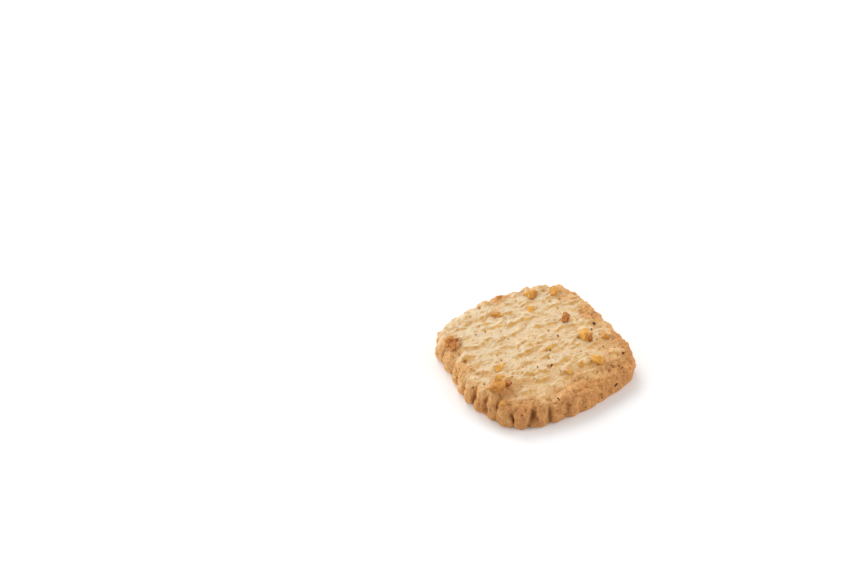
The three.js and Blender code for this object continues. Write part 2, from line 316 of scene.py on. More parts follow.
# Hollows of the top, and a ridge beside the nuts at the front left: from, to, reach and rise
tears = [
    ((-17.0, -18.8), (13.0, -20.2), 4.6, -1.30), ((-18.0, -14.8), (-7.0, -14.0), 2.8, -0.90),
    ((12.0, -10.2), (17.5, -10.6), 2.4, -0.50), ((20.5, -14.0), (21.5, 2.0), 3.6, -0.50),
    ((-18.6, 7.4), (-15.0, 6.8), 1.1, -0.48), ((-11.6, 4.4), (-9.4, 3.2), 1.1, -0.36),
    ((-5.2, 5.8), (-3.6, 5.2), 0.8, -0.30), ((0.0, 6.4), (3.0, 8.3), 0.9, -0.42),
    ((4.8, 4.6), (8.6, 5.6), 0.8, -0.36), ((0.2, -1.2), (6.6, -1.9), 0.7, -0.32),
    ((-1.6, -7.4), (8.0, -6.2), 0.7, -0.32), ((-3.0, 9.2), (-1.6, 9.6), 0.8, -0.36),
    ((0.0, 11.4), (2.4, 12.0), 0.8, -0.36), ((-13.8, 15.8), (-11.4, 16.8), 0.9, -0.48),
    ((-23.4, -1.0), (-21.8, -2.8), 1.0, -0.48), ((-20.5, -4.0), (-18.3, -4.6), 0.9, -0.30),
    ((-13.0, -6.2), (-10.2, -8.4), 1.2, -0.42), ((-4.6, -3.8), (-2.0, -2.6), 0.8, -0.30),
    ((-21.5, 3.4), (-19.0, 2.4), 0.8, -0.30), ((10.5, 10.2), (15.5, 9.8), 0.8, -0.36),
    ((16.5, 6.5), (19.5, 4.8), 1.1, -0.42), ((18.4, 9.2), (21.0, 8.8), 0.9, -0.48),
    ((-20.5, -13.4), (-14.5, -13.2), 1.5, -0.60),
    ((0.8, -17.2), (2.4, -16.4), 0.7, -0.30), ((-12.2, 12.4), (-12.1, 12.5), 0.5, -0.54),
    ((-2.2, -11.1), (-2.1, -11.0), 0.5, -0.42), ((-19.3, 9.8), (-18.6, 12.6), 1.0, -0.90),
    ((-24.0, -9.6), (-20.5, -10.8), 1.3, 0.90),
]


def doughTree(inputs):
    tree, put, given = newTree("fluted dough", inputs)

    def waveSum(angle, waves, start):  # start plus a few cosines of the angle
        total = start
        for count, size, turn in waves:
            turned = put("Math", [angle, count, -math.radians(turn)], operation="MULTIPLY_ADD")
            swing = put("Math", [turned], operation="COSINE")
            total = put("Math", [swing, size, total], operation="MULTIPLY_ADD")
        return total

    section, marks, roasts = (put("GeometryNodeObjectInfo", {"Object": given[name]}).outputs["Geometry"]
                              for name in ("Profile", "Tears", "Roasts"))
    grid = put("GeometryNodeMeshGrid", [2.0, 2.0, given["Grid Points"], given["Grid Points"]])  # from -1 to 1
    spot = put("GeometryNodeInputPosition")
    flat = put("SeparateXYZ", [spot]).outputs
    bare = put("VectorMath", [spot], operation="ABSOLUTE")
    span = put("SeparateXYZ", [bare]).outputs
    ring = put("Math", [span["X"], span["Y"]], operation="MAXIMUM")
    angle = put("Math", [flat["Y"], flat["X"]], operation="ARCTAN2")
    # The rounded square: each direction is divided by its own length in the power norm
    powerX = put("Math", [span["X"], given["Corner Power"]], operation="POWER")
    powerY = put("Math", [span["Y"], given["Corner Power"]], operation="POWER")
    powerSum = put("Math", [powerX, powerY], operation="ADD")
    root = put("Math", [-1.0, given["Corner Power"]], operation="DIVIDE")
    shrink = put("Math", [powerSum, root], operation="POWER")
    stray = waveSum(angle, dough["outlineWaves"], 1.0)
    # The section: a ring's place along the rounded profile gives its distance from the middle and its height
    corner = put("GeometryNodeInputRadius")
    rounded = put("GeometryNodeFilletCurve", [section, dough["roundingPoints"], corner], mode="POLY")
    along = put("GeometryNodeSampleCurve", {"Curves": rounded, "Factor": ring})
    place = put("SeparateXYZ", [along.outputs["Position"]]).outputs
    widened = put("Math", [place["X"], shrink], operation="MULTIPLY")
    reach = put("Math", [widened, stray], operation="MULTIPLY")
    plan = put("VectorMath", {0: spot, "Scale": reach}, operation="SCALE")
    # Flutes: round lobes between narrow grooves, uneven in depth, gone where the shoulder turns flat
    drift = waveSum(angle, [(n, -math.radians(size), turn) for n, size, turn in dough["fluteDrift"]],
                    -math.radians(dough["fluteStart"]))
    wander = put("TexNoise", {"Vector": spot, "Scale": dough["bendPatches"], "Detail": dough["patchDetail"]})
    strayed = put("Math", [wander, *dough["bend"]], operation="MULTIPLY_ADD")
    drifted = put("Math", [angle, drift], operation="ADD")
    settled = put("Math", [drifted, strayed], operation="ADD")
    half = put("Math", [given["Flutes"], 2.0], operation="DIVIDE")
    phase = put("Math", [settled, half], operation="MULTIPLY")
    swing = put("Math", [phase], operation="SINE")
    size = put("Math", [swing], operation="ABSOLUTE")
    lobe = put("Math", [size, given["Flute Roundness"]], operation="POWER")
    waved = waveSum(angle, dough["fluteSoftness"], 1.0)
    soft = put("Math", [waved, dough["fluteLeast"]], operation="MAXIMUM")
    patchy = put("TexNoise", {"Vector": spot, "Scale": dough["depthPatches"], "Detail": dough["patchDetail"]})
    uneven = put("MapRange", [patchy, *dough["depthRange"]])
    depth = put("Math", [soft, uneven], operation="MULTIPLY")
    sunkBy = put("Math", [patchy, *(size * mm for size in dough["lobeTops"])], operation="MULTIPLY_ADD")
    fluteHeight = put("Math", [place["Z"], sunkBy], operation="ADD")
    fluteEnds = [dough["fluteFull"] * mm, dough["fluteEnd"] * mm]
    fade = put("MapRange", [fluteHeight, *fluteEnds, given["Flute Depth"], 0.0], **smoothly)
    centred = put("Math", [lobe, dough["lobeMean"]], operation="SUBTRACT")
    lifted = put("Math", [centred, depth], operation="MULTIPLY")
    offset = put("Math", [lifted, fade], operation="MULTIPLY")
    outward = put("VectorMath", [spot], operation="NORMALIZE")
    bulge = put("VectorMath", {0: outward, "Scale": offset}, operation="SCALE")
    raised = put("CombineXYZ", {"Z": place["Z"]})
    planned = put("VectorMath", [plan, bulge], operation="ADD")
    placed = put("VectorMath", [planned, raised], operation="ADD")
    # How far into a groove each place is, stored as flute, for the material's painted shade
    grooveShare = put("MapRange", [lobe, dough["grooveLobe"], 0.0])
    fluteShare = put("MapRange", [fluteHeight, *fluteEnds, 1.0, 0.0])
    grooved = put("Math", [grooveShare, fluteShare], operation="MULTIPLY")
    shownDepth = put("Math", [depth, dough["grooveLeast"]], operation="MAXIMUM")
    groove = put("Math", [grooved, shownDepth], operation="MULTIPLY")
    ringed = put("GeometryNodeStoreNamedAttribute", {"Geometry": grid, "Name": "ring", "Value": ring})
    marked = put("GeometryNodeStoreNamedAttribute", {"Geometry": ringed, "Name": "flute", "Value": groove})
    shaped = put("GeometryNodeSetPosition", {"Geometry": marked, "Position": placed})

    # Hollows and mounds, one after the other
    count = put("GeometryNodeAttributeDomainSize", [marks]).outputs["Point Count"]
    zoneIn = put("GeometryNodeRepeatInput")
    zoneOut = put("GeometryNodeRepeatOutput")
    zoneIn.pair_with_output(zoneOut)
    tree.links.new(count, zoneIn.inputs["Iterations"])
    tree.links.new(shaped.outputs[0], zoneIn.inputs["Geometry"])
    turn = zoneIn.outputs["Iteration"]
    start = put("GeometryNodeSampleIndex", [marks, spot, turn], data_type="FLOAT_VECTOR")
    runValue = put("GeometryNodeInputNamedAttribute", {"Name": "run"}, data_type="FLOAT_VECTOR")
    run = put("GeometryNodeSampleIndex", [marks, runValue, turn], data_type="FLOAT_VECTOR")
    reachValue, riseValue, ringValue, pressed = (put("GeometryNodeInputNamedAttribute", {"Name": name})
                                                 for name in ("reach", "rise", "ring", "pressed"))
    wide = put("GeometryNodeSampleIndex", [marks, reachValue, turn])
    rise = put("GeometryNodeSampleIndex", [marks, riseValue, turn])
    level = put("VectorMath", [spot, (1, 1, 0)], operation="MULTIPLY")
    away = put("VectorMath", [level, start], operation="SUBTRACT")
    dot = put("VectorMath", [away, run], operation="DOT_PRODUCT").outputs["Value"]
    square = put("VectorMath", [run, run], operation="DOT_PRODUCT").outputs["Value"]
    share = put("Math", [dot, square], operation="DIVIDE", use_clamp=True)
    nearest = put("VectorMath", {0: run, "Scale": share}, operation="SCALE")
    distance = put("VectorMath", [away, nearest], operation="DISTANCE").outputs["Value"]
    ratio = put("Math", [distance, wide], operation="DIVIDE")
    squared = put("Math", [ratio, ratio], operation="MULTIPLY")
    falling = put("Math", [squared, -1.0], operation="MULTIPLY")
    bell = put("Math", [falling], operation="EXPONENT")
    lift = put("Math", [bell, rise], operation="MULTIPLY")
    topShare = put("MapRange", [ringValue, *dough["topEnds"], 1.0, 0.0], **smoothly)
    topLift = put("Math", [lift, topShare], operation="MULTIPLY")
    upward = put("CombineXYZ", {"Z": topLift})
    morePressed = put("Math", [pressed, topLift], operation="ADD")
    noted = put("GeometryNodeStoreNamedAttribute", {"Geometry": zoneIn.outputs["Geometry"], "Name": "pressed",
                                                    "Value": morePressed})
    sunken = put("GeometryNodeSetPosition", {"Geometry": noted, "Offset": upward})
    tree.links.new(sunken.outputs[0], zoneOut.inputs["Geometry"])

    lumpScale, slumpScale, crumbScale, poreScale = (
        put("Math", [1.0, given[size]], operation="DIVIDE")
        for size in ("Lump Size", "Slump Size", "Crumb Size", "Pore Spacing"))
    # Torn lumps: noise drawn out along the tears and leant over, so that the front of each lump is steep
    stretch = put("CombineXYZ", [given["Tear Length"], given["Tear Width"], given["Tear Width"]])
    tearSpot = put("VectorMath", [spot, stretch], operation="DIVIDE")
    first = put("TexNoise", {"Vector": tearSpot, "Scale": 1.0})
    leant = put("VectorMath", [first, dough["tearLean"], tearSpot], operation="MULTIPLY_ADD")
    second = put("TexNoise", {"Vector": leant, "Scale": 1.0, "Detail": dough["tearDetail"]})
    tearDepth = put("MapRange", [second, *dough["tearLevels"]], **smoothly)
    ripped = put("Math", [tearDepth, given["Tear Height"]], operation="MULTIPLY")
    torn = put("Math", [ripped, topShare], operation="MULTIPLY")
    drawn = put("VectorMath", [spot, dough["lumpStretch"]], operation="MULTIPLY")
    lump = put("TexNoise", {"Vector": drawn, "Scale": lumpScale, **dough["lumpNoise"]})
    lumpHeight = put("Math", [lump, noiseMean], operation="SUBTRACT")
    lumped = put("Math", [lumpHeight, given["Lump Height"]], operation="MULTIPLY")
    lumpShare = put("MapRange", [ringValue, *dough["lumpEnds"]], **smoothly)
    lumpy = put("Math", [lumped, lumpShare], operation="MULTIPLY")
    # The edge slumped unevenly in the oven
    upright = put("VectorMath", [spot, dough["slumpStretch"]], operation="MULTIPLY")
    slump = put("TexNoise", {"Vector": upright, "Scale": slumpScale})
    slumpHeight = put("Math", [slump, noiseMean], operation="SUBTRACT")
    slumpDepth = put("MapRange", [ringValue, *dough["slumpEnds"], 0.0, given["Slump Height"]], **smoothly)
    slumped = put("Math", [slumpHeight, slumpDepth], operation="MULTIPLY")
    # Crumb: small lumps, with pores between some of them
    crumb = put("TexVoronoi", {"Vector": spot, "Scale": crumbScale})
    crumbHeight = put("Math", [dough["crumbMiddle"], crumb], operation="SUBTRACT")
    crumbed = put("Math", [crumbHeight, given["Crumb Height"]], operation="MULTIPLY")
    pore = put("TexVoronoi", {"Vector": spot, "Scale": poreScale})
    dip = put("MapRange", [pore, *dough["poreEdge"], 1.0, 0.0], **smoothly)
    poreChance = put("SeparateXYZ", [pore.outputs["Color"]])
    poreLimit = put("MapRange", [ringValue, *dough["poreLimit"]])
    chosen = put("Math", [poreChance, poreLimit], operation="GREATER_THAN")
    pitted = put("Math", [dip, chosen], operation="MULTIPLY")
    sunk = put("Math", [pitted, given["Pore Depth"]], operation="MULTIPLY")
    rough = put("Math", [crumbed, sunk], operation="SUBTRACT")
    lumpyRough = put("Math", [rough, lumpy], operation="ADD")
    heaped = put("Math", [lumpyRough, slumped], operation="ADD")
    footShare = put("MapRange", [ringValue, *dough["footEnds"], 1.0, 0.0])
    above = put("Math", [heaped, footShare], operation="MULTIPLY")
    total = put("Math", [above, torn], operation="ADD")
    normal = put("GeometryNodeInputNormal")
    push = put("VectorMath", {0: normal, "Scale": total}, operation="SCALE")
    # How far each place is above or below those around it, and how it slopes, for the material, which paints
    # shade into the hollows, the pores and the slopes that face the front
    height = put("Math", [pressed, dough["hollowWeight"], total], operation="MULTIPLY_ADD")
    around = put("GeometryNodeBlurAttribute", [height, dough["reliefBlur"]])
    over = put("Math", [height, around], operation="SUBTRACT")
    relief = put("MapRange", [over, *(level * mm for level in dough["reliefLevels"])])
    felt = put("GeometryNodeStoreNamedAttribute", {"Geometry": zoneOut.outputs["Geometry"], "Name": "relief",
                                                   "Value": relief})
    pushed = put("GeometryNodeSetPosition", {"Geometry": felt, "Offset": push})
    slope = put("SeparateXYZ", [normal]).outputs["Y"]
    sloped = put("GeometryNodeStoreNamedAttribute", {"Geometry": pushed, "Name": "slope", "Value": slope})
    # Oil from the well roasted nuts browned the dough round them
    apart = put("GeometryNodeProximity", [roasts], target_element="POINTS").outputs["Distance"]
    oily = put("MapRange", [apart, *(reach * mm for reach in dough["oilReach"]), 1.0, 0.0], **smoothly)
    baked = put("GeometryNodeStoreNamedAttribute", {"Geometry": sloped, "Name": "oily", "Value": oily})

    # The flat underside closes the open edge of the grid, where edges have one face
    faces = put("GeometryNodeInputMeshEdgeNeighbors")
    loose = put("FunctionNodeCompare", {2: faces, 3: 1}, data_type="INT", operation="EQUAL")
    border = put("GeometryNodeMeshToCurve", {"Mesh": baked, "Selection": loose})
    lid = put("GeometryNodeFillCurve", {"Curve": border}, mode="NGONS")
    flipped = put("GeometryNodeFlipFaces", {"Mesh": lid})
    joined = put("GeometryNodeJoinGeometry")
    tree.links.new(flipped.outputs[0], joined.inputs[0])
    tree.links.new(baked.outputs[0], joined.inputs[0])
    closed = put("GeometryNodeMergeByDistance", {"Geometry": joined, "Distance": dough["weld"] * mm})
    smooth = put("GeometryNodeSetShadeSmooth", {"Geometry": closed})
    real = put("GeometryNodeRealizeInstances", {"Geometry": smooth})
    dressed = put("GeometryNodeSetMaterial", {"Geometry": real, "Material": given["Material"]})
    put("NodeGroupOutput", {"Geometry": dressed})
    return tree


def makeDough(material):
    mounds = [((x, y), (x + nuts["moundRun"], y), long * nuts["moundReach"], nuts["moundRise"])
              for x, y, long, *rest in nuts["placed"]]
    strokes = tears + mounds
    marks = pointCloud("dough_tears", [(a[0] * mm, a[1] * mm, 0) for a, b, reach, rise in strokes], {
        "run": [((b[0] - a[0]) * mm, (b[1] - a[1]) * mm, 0) for a, b, reach, rise in strokes],
        "reach": [reach * mm for a, b, reach, rise in strokes],
        "rise": [rise * mm for a, b, reach, rise in strokes],
    })
    roasted = [(x * mm, y * mm, nuts["seat"] * mm)
               for x, y, long, wide, turn, proud, toast, *rest in nuts["placed"] if toast >= nuts["oily"]]
    inputs = {
        "Grid Points": dough["gridPoints"],
        "Corner Power": dough["cornerPower"],
        "Flutes": float(dough["flutes"]),
        "Flute Roundness": dough["fluteRoundness"],
        **{label: size * mm for label, size in dough["sizes"].items()},
        "Profile": profileCurve(),
        "Tears": marks,
        "Roasts": pointCloud("roasted_nuts", roasted, {}),
        "Material": material,
    }
    return growMesh("dough", doughTree(inputs), inputs)


# Roasted hazelnut, chopped: waxy golden cut faces with toasted edges, and brown skin on one side.
# The cuts shine a little where the oil came out.
hazelnut = {
    "flesh": "#CC8A30",
    "pale": "#E0AA50",
    "toasted": "#A55C20",
    "skin": "#94490F",
    "dough": "#DCB681",  # smeared over the lower part of each piece
    # Patterns: size and detail
    "crumb": (0.6, 2.0),  # crumbs of dough that stuck to the cuts
    "crumbLevels": (0.58, 0.7, 0.0, 0.45),
    "fibre": (0.7, 4.0),  # grain of the flesh
    "fibreBump": {"Strength": 0.7, "Distance": 0.3 * mm},
    "patch": (1.6, 3.0),  # uneven roasting
    "patchLevels": (0.35, 0.65),
    "edgeToast": 0.38,
    "skinRagged": 0.5,
    "skinLevels": (0.65, 0.95),
    "smearRagged": -0.8,
    "smearLevels": (-0.55, -0.35),
    "surface": {"Roughness": 0.5, "IOR": 1.47, "Specular IOR Level": 0.25, "Subsurface Weight": 0.12,
                "Subsurface Radius": (1.0, 0.5, 0.2), "Subsurface Scale": 0.6 * mm},
}


def roastedHazelnut():
    material, put = newMaterial("roasted_hazelnut")
    spot = put("TexCoord").outputs["Object"]
    edge, toast, gap = (put("Attribute", attribute_name=name).outputs["Fac"]
                        for name in ("edge", "toast", "gap"))
    way, peel = (put("Attribute", attribute_name=name).outputs["Vector"] for name in ("way", "peel"))
    patch, fibre, crumb = (put("TexNoise", {"Vector": spot, "Scale": perMetre(size), "Detail": detail})
                           for size, detail in (hazelnut[name] for name in ("patch", "fibre", "crumb")))
    patched = put("MapRange", [patch, *hazelnut["patchLevels"]])
    flesh = put("Mix", {0: patched, 6: linear(hazelnut["pale"]), 7: linear(hazelnut["flesh"])},
                data_type="RGBA")
    heat = put("Math", [edge, hazelnut["edgeToast"], toast], operation="MULTIPLY_ADD", use_clamp=True)
    roasted = put("Mix", {0: heat, 6: flesh.outputs[2], 7: linear(hazelnut["toasted"])}, data_type="RGBA")
    # Skin is left on the side that each piece's own peel direction points to, with a ragged border
    side = put("VectorMath", [way, peel], operation="DOT_PRODUCT").outputs["Value"]
    ragged = put("Math", [fibre, hazelnut["skinRagged"], side], operation="MULTIPLY_ADD")
    skinned = put("MapRange", [ragged, *hazelnut["skinLevels"]])
    peeled = put("Mix", {0: skinned, 6: roasted.outputs[2], 7: linear(hazelnut["skin"])}, data_type="RGBA")
    # Dough clings to the foot of each piece, and crumbs to the rest
    smear = put("Math", [fibre, hazelnut["smearRagged"] * mm, gap], operation="MULTIPLY_ADD")
    clung = put("MapRange", [smear, *(level * mm for level in hazelnut["smearLevels"]), 1.0, 0.0])
    dusted = put("MapRange", [crumb, *hazelnut["crumbLevels"]])
    coated = put("Math", [clung, dusted], operation="MAXIMUM")
    colour = put("Mix", {0: coated, 6: peeled.outputs[2], 7: linear(hazelnut["dough"])}, data_type="RGBA")
    bump = put("Bump", {"Height": fibre, **hazelnut["fibreBump"]})
    shader = put("BsdfPrincipled", {"Base Color": colour.outputs[2], "Normal": bump, **hazelnut["surface"]})
    put("OutputMaterial", {"Surface": shader})
    return material


# Hazelnut skin: thin, papery and nearly black where it scorched
skinFlake = {"dark": "#452B1C", "red": "#8F5A2E", "mottle": 0.6, "mottleSwing": (0.8, -0.4),
             "surface": {"Roughness": 0.9, "Specular IOR Level": 0.15}}


def scorchedSkin():
    material, put = newMaterial("scorched_hazelnut_skin")
    spot = put("TexCoord").outputs["Object"]
    toast = put("Attribute", attribute_name="toast").outputs["Fac"]
    mottle = put("TexNoise", {"Vector": spot, "Scale": perMetre(skinFlake["mottle"])})
    uneven = put("Math", [mottle, *skinFlake["mottleSwing"]], operation="MULTIPLY_ADD")
    heat = put("Math", [uneven, toast], operation="ADD", use_clamp=True)
    colour = put("Mix", {0: heat, 6: linear(skinFlake["red"]), 7: linear(skinFlake["dark"])},
                 data_type="RGBA")
    shader = put("BsdfPrincipled", {"Base Color": colour.outputs[2], **skinFlake["surface"]})
    put("OutputMaterial", {"Surface": shader})
    return material


# Sugar: coarse pale crystals that catch the light at the rim
sugar = {"colour": "#F1E0C0", "surface": {"Roughness": 0.25, "IOR": 1.54}}


def sugarCrystal():
    material, put = newMaterial("sugar_crystal")
    shader = put("BsdfPrincipled", {"Base Color": linear(sugar["colour"]), **sugar["surface"]})
    put("OutputMaterial", {"Surface": shader})
    return material


# Chopped lumps: balls of radius 1 with flat cuts and many small dents
lumps = {
    "cutsFrom": (0.4, 0.68),  # how far the cuts are from the middle
    "sharpness": 36,
    "dents": (4, 4, 4, 7, 7, 11, 11, 15),  # pitches in radians
    "dentTurn": 6,
    "dentDepth": 0.2,
    "edgeStart": 0.85,  # how nearly alike two cuts pull where an edge begins
}


def choppedPiece(name, seed, cuts, subdivisions):  # a lump one unit across, cut flat on several sides
    random = np.random.default_rng(seed)
    lump = bmesh.new()
    bmesh.ops.create_icosphere(lump, subdivisions=subdivisions, radius=1)
    ways = np.array([v.co for v in lump.verts])
    faces = random.normal(size=(cuts, 3))
    faces /= np.linalg.norm(faces, axis=1)[:, None]
    depths = random.uniform(*lumps["cutsFrom"], cuts)
    pulls = np.clip(ways @ faces.T, 0, None) / depths  # the nearest cut pulls the surface in most
    pulls = np.concatenate([np.ones((len(ways), 1)), pulls], axis=1)
    radius = (pulls ** lumps["sharpness"]).sum(1) ** (-1 / lumps["sharpness"])
    dents = sum(np.sin(ways @ random.normal(size=3) * pitch + random.uniform(0, lumps["dentTurn"])) / pitch
                for pitch in lumps["dents"])
    shape = ways * (radius * (1 + lumps["dentDepth"] * dents))[:, None]
    low, high = shape.min(0), shape.max(0)
    shape = (shape - (low + high) / 2) / (high - low)
    ordered = np.sort(pulls, axis=1)
    mesh = bpy.data.meshes.new(name)
    lump.to_mesh(mesh)
    lump.free()
    mesh.vertices.foreach_set("co", shape.ravel())
    edge = np.clip((ordered[:, -2] / ordered[:, -1] - lumps["edgeStart"]) / (1 - lumps["edgeStart"]), 0, 1)
    mesh.attributes.new("edge", "FLOAT", "POINT").data.foreach_set("value", edge)
    mesh.attributes.new("way", "FLOAT_VECTOR", "POINT").data.foreach_set("vector", ways.ravel())
    mesh.shade_smooth()
    return bpy.data.objects.new(name, mesh)


def shapeBox(name, piece):  # a collection of a few such lumps for a tree to pick from
    box = bpy.data.collections.new(name)
    for i in range(piece["shapes"]):
        box.objects.link(choppedPiece(f"{name}_{i}", i + 1, piece["cuts"], piece["subdivisions"]))
    return box


def layShapes(put, box, points, pick, pose, size):  # one of the box's lumps at each point, as plain mesh
    shapes = put("GeometryNodeCollectionInfo", {"Collection": box, "Separate Children": True,
                                                "Reset Children": True})
    laid = put("GeometryNodeInstanceOnPoints", {"Points": points, "Instance": shapes, "Pick Instance": True,
                                                "Instance Index": pick, "Rotation": pose, "Scale": size})
    return put("GeometryNodeRealizeInstances", {"Geometry": laid})


def placedTree(inputs):  # sets one lump at each given place, sunk into the surface below
    tree, put, given = newTree("pieces set in dough", inputs)
    places, ground = (put("GeometryNodeObjectInfo", {"Object": given[name]}).outputs["Geometry"]
                      for name in ("Places", "Ground"))
    surface = put("GeometryNodeProximity", [ground], target_element="FACES")
    normal = put("GeometryNodeInputNormal")
    slope = put("GeometryNodeSampleNearestSurface", [ground, normal], data_type="FLOAT_VECTOR")
    level, lift, turn, shape = (put("GeometryNodeInputNamedAttribute", {"Name": name})
                                for name in ("level", "lift", "turn", "shape"))
    size = put("GeometryNodeInputNamedAttribute", {"Name": "size"}, data_type="FLOAT_VECTOR")
    facing = put("Mix", {0: level, 4: slope, 5: up}, data_type="VECTOR").outputs[1]
    raised = put("VectorMath", {0: facing, "Scale": lift}, operation="SCALE")
    seat = put("VectorMath", [surface, raised], operation="ADD")
    seated = put("GeometryNodeSetPosition", {"Geometry": places, "Position": seat})
    upright = put("FunctionNodeAlignRotationToVector", {"Vector": facing}, axis="Z")
    spun = put("FunctionNodeAxisAngleToRotation", {"Axis": up, "Angle": turn})
    pose = put("FunctionNodeRotateRotation", [upright, spun], rotation_space="LOCAL")
    real = layShapes(put, given["Shapes"], seated, shape, pose, size)
    gap = put("GeometryNodeProximity", [ground], target_element="FACES").outputs["Distance"]
    gauged = put("GeometryNodeStoreNamedAttribute", {"Geometry": real, "Name": "gap", "Value": gap})
    dressed = put("GeometryNodeSetMaterial", {"Geometry": gauged, "Material": given["Material"]})
    put("NodeGroupOutput", {"Geometry": dressed})
    return tree


def placesOf(name, rows, level):  # one point a row, with the row's values as attributes
    columns = np.split(np.array(rows, float), (3, 6, 7, 8, 9, 10, 11), axis=1)  # place and size have three
    place, size, turn, proud, toast, shape, peelTurn, peel = columns
    skinWay = np.radians(peelTurn - turn)
    return pointCloud(name, place * mm, {
        "size": size * mm,
        "turn": np.radians(turn[:, 0]),
        "lift": (proud[:, 0] - size[:, 2] / 2) * mm,
        "toast": toast[:, 0],
        "shape": shape[:, 0],
        "peel": np.hstack([np.cos(skinWay), np.sin(skinWay), np.zeros_like(peel)]) * peel,
        "level": np.full(len(rows), level),
    })


# Chopped nut on the top: x, y, long, wide, turn, proud, how far roasted, where the skin is and how much of it
nuts = {
    "above": 9.0,  # where the search for the surface starts
    "tall": 0.85,  # height as a share of the width
    "moundReach": 0.6,  # the dough rises round each, by its length
    "moundRise": 0.3,
    "moundRun": 0.1,
    "seat": 8.4,  # height of their middles
    "oily": 0.2,  # pieces roasted at least this far browned the dough
    "shapes": 6,
    "cuts": 8,
    "subdivisions": 4,
    "level": 1.0,  # 1 stands upright, and 0 lies along the surface
    "placed": [
        (-18.9, -10.9, 6.0, 3.8, 5, 1.7, 0.42, 0, 0.0), (13.8, -5.4, 5.2, 4.6, 80, 1.9, 0.02, -60, 0.8),
        (11.5, -15.4, 4.8, 3.4, 100, 1.2, 0.0, 0, 0.0), (-14.6, -4.0, 4.8, 2.4, 10, 0.6, 0.0, 0, 0.0),
        (13.0, 3.6, 4.4, 2.8, 65, 1.15, 0.75, -70, 0.95), (10.5, 18.7, 4.6, 3.8, 30, 1.4, 0.02, -60, 0.63),
        (-2.8, 16.0, 4.6, 3.0, -20, 0.9, 0.3, 0, 0.0), (-17.8, -8.4, 4.0, 2.8, 12, 1.3, 0.12, 0, 0.0),
        (6.8, 12.2, 3.8, 2.2, 70, 0.6, 0.0, 0, 0.0), (16.7, 15.9, 3.8, 3.2, 0, 1.1, 0.19, 0, 0.0),
        (-21.2, 13.0, 4.6, 3.6, 60, 1.0, 0.6, 0, 0.5), (18.4, -7.4, 3.2, 2.2, 75, 0.5, 0.1, 0, 0.0),
        (-21.0, -15.8, 3.0, 2.6, 45, 0.55, 0.2, 0, 0.0), (17.0, 12.8, 3.0, 2.4, 30, 0.5, 0.0, 0, 0.0),
        (2.0, -5.0, 3.0, 1.6, 10, 0.5, 0.0, 0, 0.0), (-21.6, 10.4, 3.6, 2.6, 20, 0.8, 0.7, 0, 0.0),
        (5.8, -14.6, 2.8, 2.2, 40, 0.6, 0.0, 0, 0.0), (2.5, 22.6, 2.6, 1.6, 0, 0.4, 0.5, 0, 0.0),
        (-15.8, -11.4, 2.4, 1.9, 100, 1.0, 0.8, -20, 1.0), (-19.7, 12.2, 2.6, 2.1, 0, 0.9, 0.6, -40, 0.9),
        (1.8, -16.4, 2.2, 1.7, 80, 0.35, 0.0, 0, 0.0),
    ],
}


def makeNuts(ground, material):
    rows = []
    for i, (x, y, long, wide, turn, proud, toast, peelTurn, peel) in enumerate(nuts["placed"]):
        size = (long, wide, wide * nuts["tall"])
        rows.append((x, y, nuts["above"], *size, turn, proud, toast, i % nuts["shapes"], peelTurn, peel))
    inputs = {
        "Places": placesOf("nut_places", rows, nuts["level"]),
        "Ground": ground,
        "Shapes": shapeBox("nut_shape", nuts),
        "Material": material,
    }
    return growMesh("chopped_hazelnut", placedTree(inputs), inputs)


# Flakes of dark skin: x, y, z, long, wide, turn and how scorched
flakes = {
    "thick": 0.5,
    "proud": 0.16,
    "shapes": 3,
    "cuts": 6,
    "subdivisions": 3,
    "level": 0.0,
    "placed": [
        (20.1, -1.9, 9, 1.3, 0.9, 70, 0.9), (17.7, -3.9, 9, 1.0, 0.6, 60, 0.8),
        (7.2, -1.0, 9, 0.9, 0.5, 80, 0.5), (-2.1, -11.2, 9, 1.0, 0.8, 20, 0.1),
        (-5.6, -9.9, 9, 0.8, 0.6, 40, 0.25), (-6.7, -22.7, 7, 1.5, 0.6, 80, 0.6),
        (19.5, -16.9, 9, 1.0, 0.8, 10, 0.6), (16.6, -10.4, 9, 0.6, 0.5, 0, 0.7),
        (16.0, -21.2, 8, 0.7, 0.5, 0, 0.5), (12.8, -24.4, 3.2, 1.5, 1.5, 30, 0.9),
        (-5.2, -24.8, 2.0, 1.1, 0.8, 90, 0.3), (-12.4, 12.1, 9, 0.7, 0.6, 0, 0.1),
        (-15.8, -10.4, 9, 0.9, 0.7, 30, 0.2), (-13.0, -9.6, 9, 0.6, 0.5, 0, 0.2),
    ],
}


def makeFlakes(ground, material):
    rows = [(x, y, z, long, wide, flakes["thick"], turn, flakes["proud"], toast, i % flakes["shapes"], 0, 0)
            for i, (x, y, z, long, wide, turn, toast) in enumerate(flakes["placed"])]
    inputs = {
        "Places": placesOf("flake_places", rows, flakes["level"]),
        "Ground": ground,
        "Shapes": shapeBox("flake_shape", flakes),
        "Material": material,
    }
    return growMesh("skin_flakes", placedTree(inputs), inputs)


# Loose grains: crumbs of the dough, dark specks of nut skin, and sugar, so many a square metre.
# Each kind goes from none at its ringStart to its full density at its ringFull.
grains = {
    "lowest": 1.2,  # none lower than this
    "fewLarge": 2.0,  # a higher power has fewer large ones
    "spin": (6.283, 6.283, 6.283),  # up to a full turn, in radians
    "shapes": 6,
    "cuts": 6,
    "subdivisions": 1,
    "crumbs": {"density": 60000.0, "from": 0.3, "to": 0.8, "ringStart": 0.95, "ringFull": 0.4, "seed": 3},
    "specks": {"density": 5000.0, "from": 0.18, "to": 0.4, "ringStart": -0.5, "ringFull": 0.5, "seed": 8},
    "sugar": {"density": 14000.0, "from": 0.12, "to": 0.26, "ringStart": 0.4, "ringFull": 0.7, "seed": 5},
}


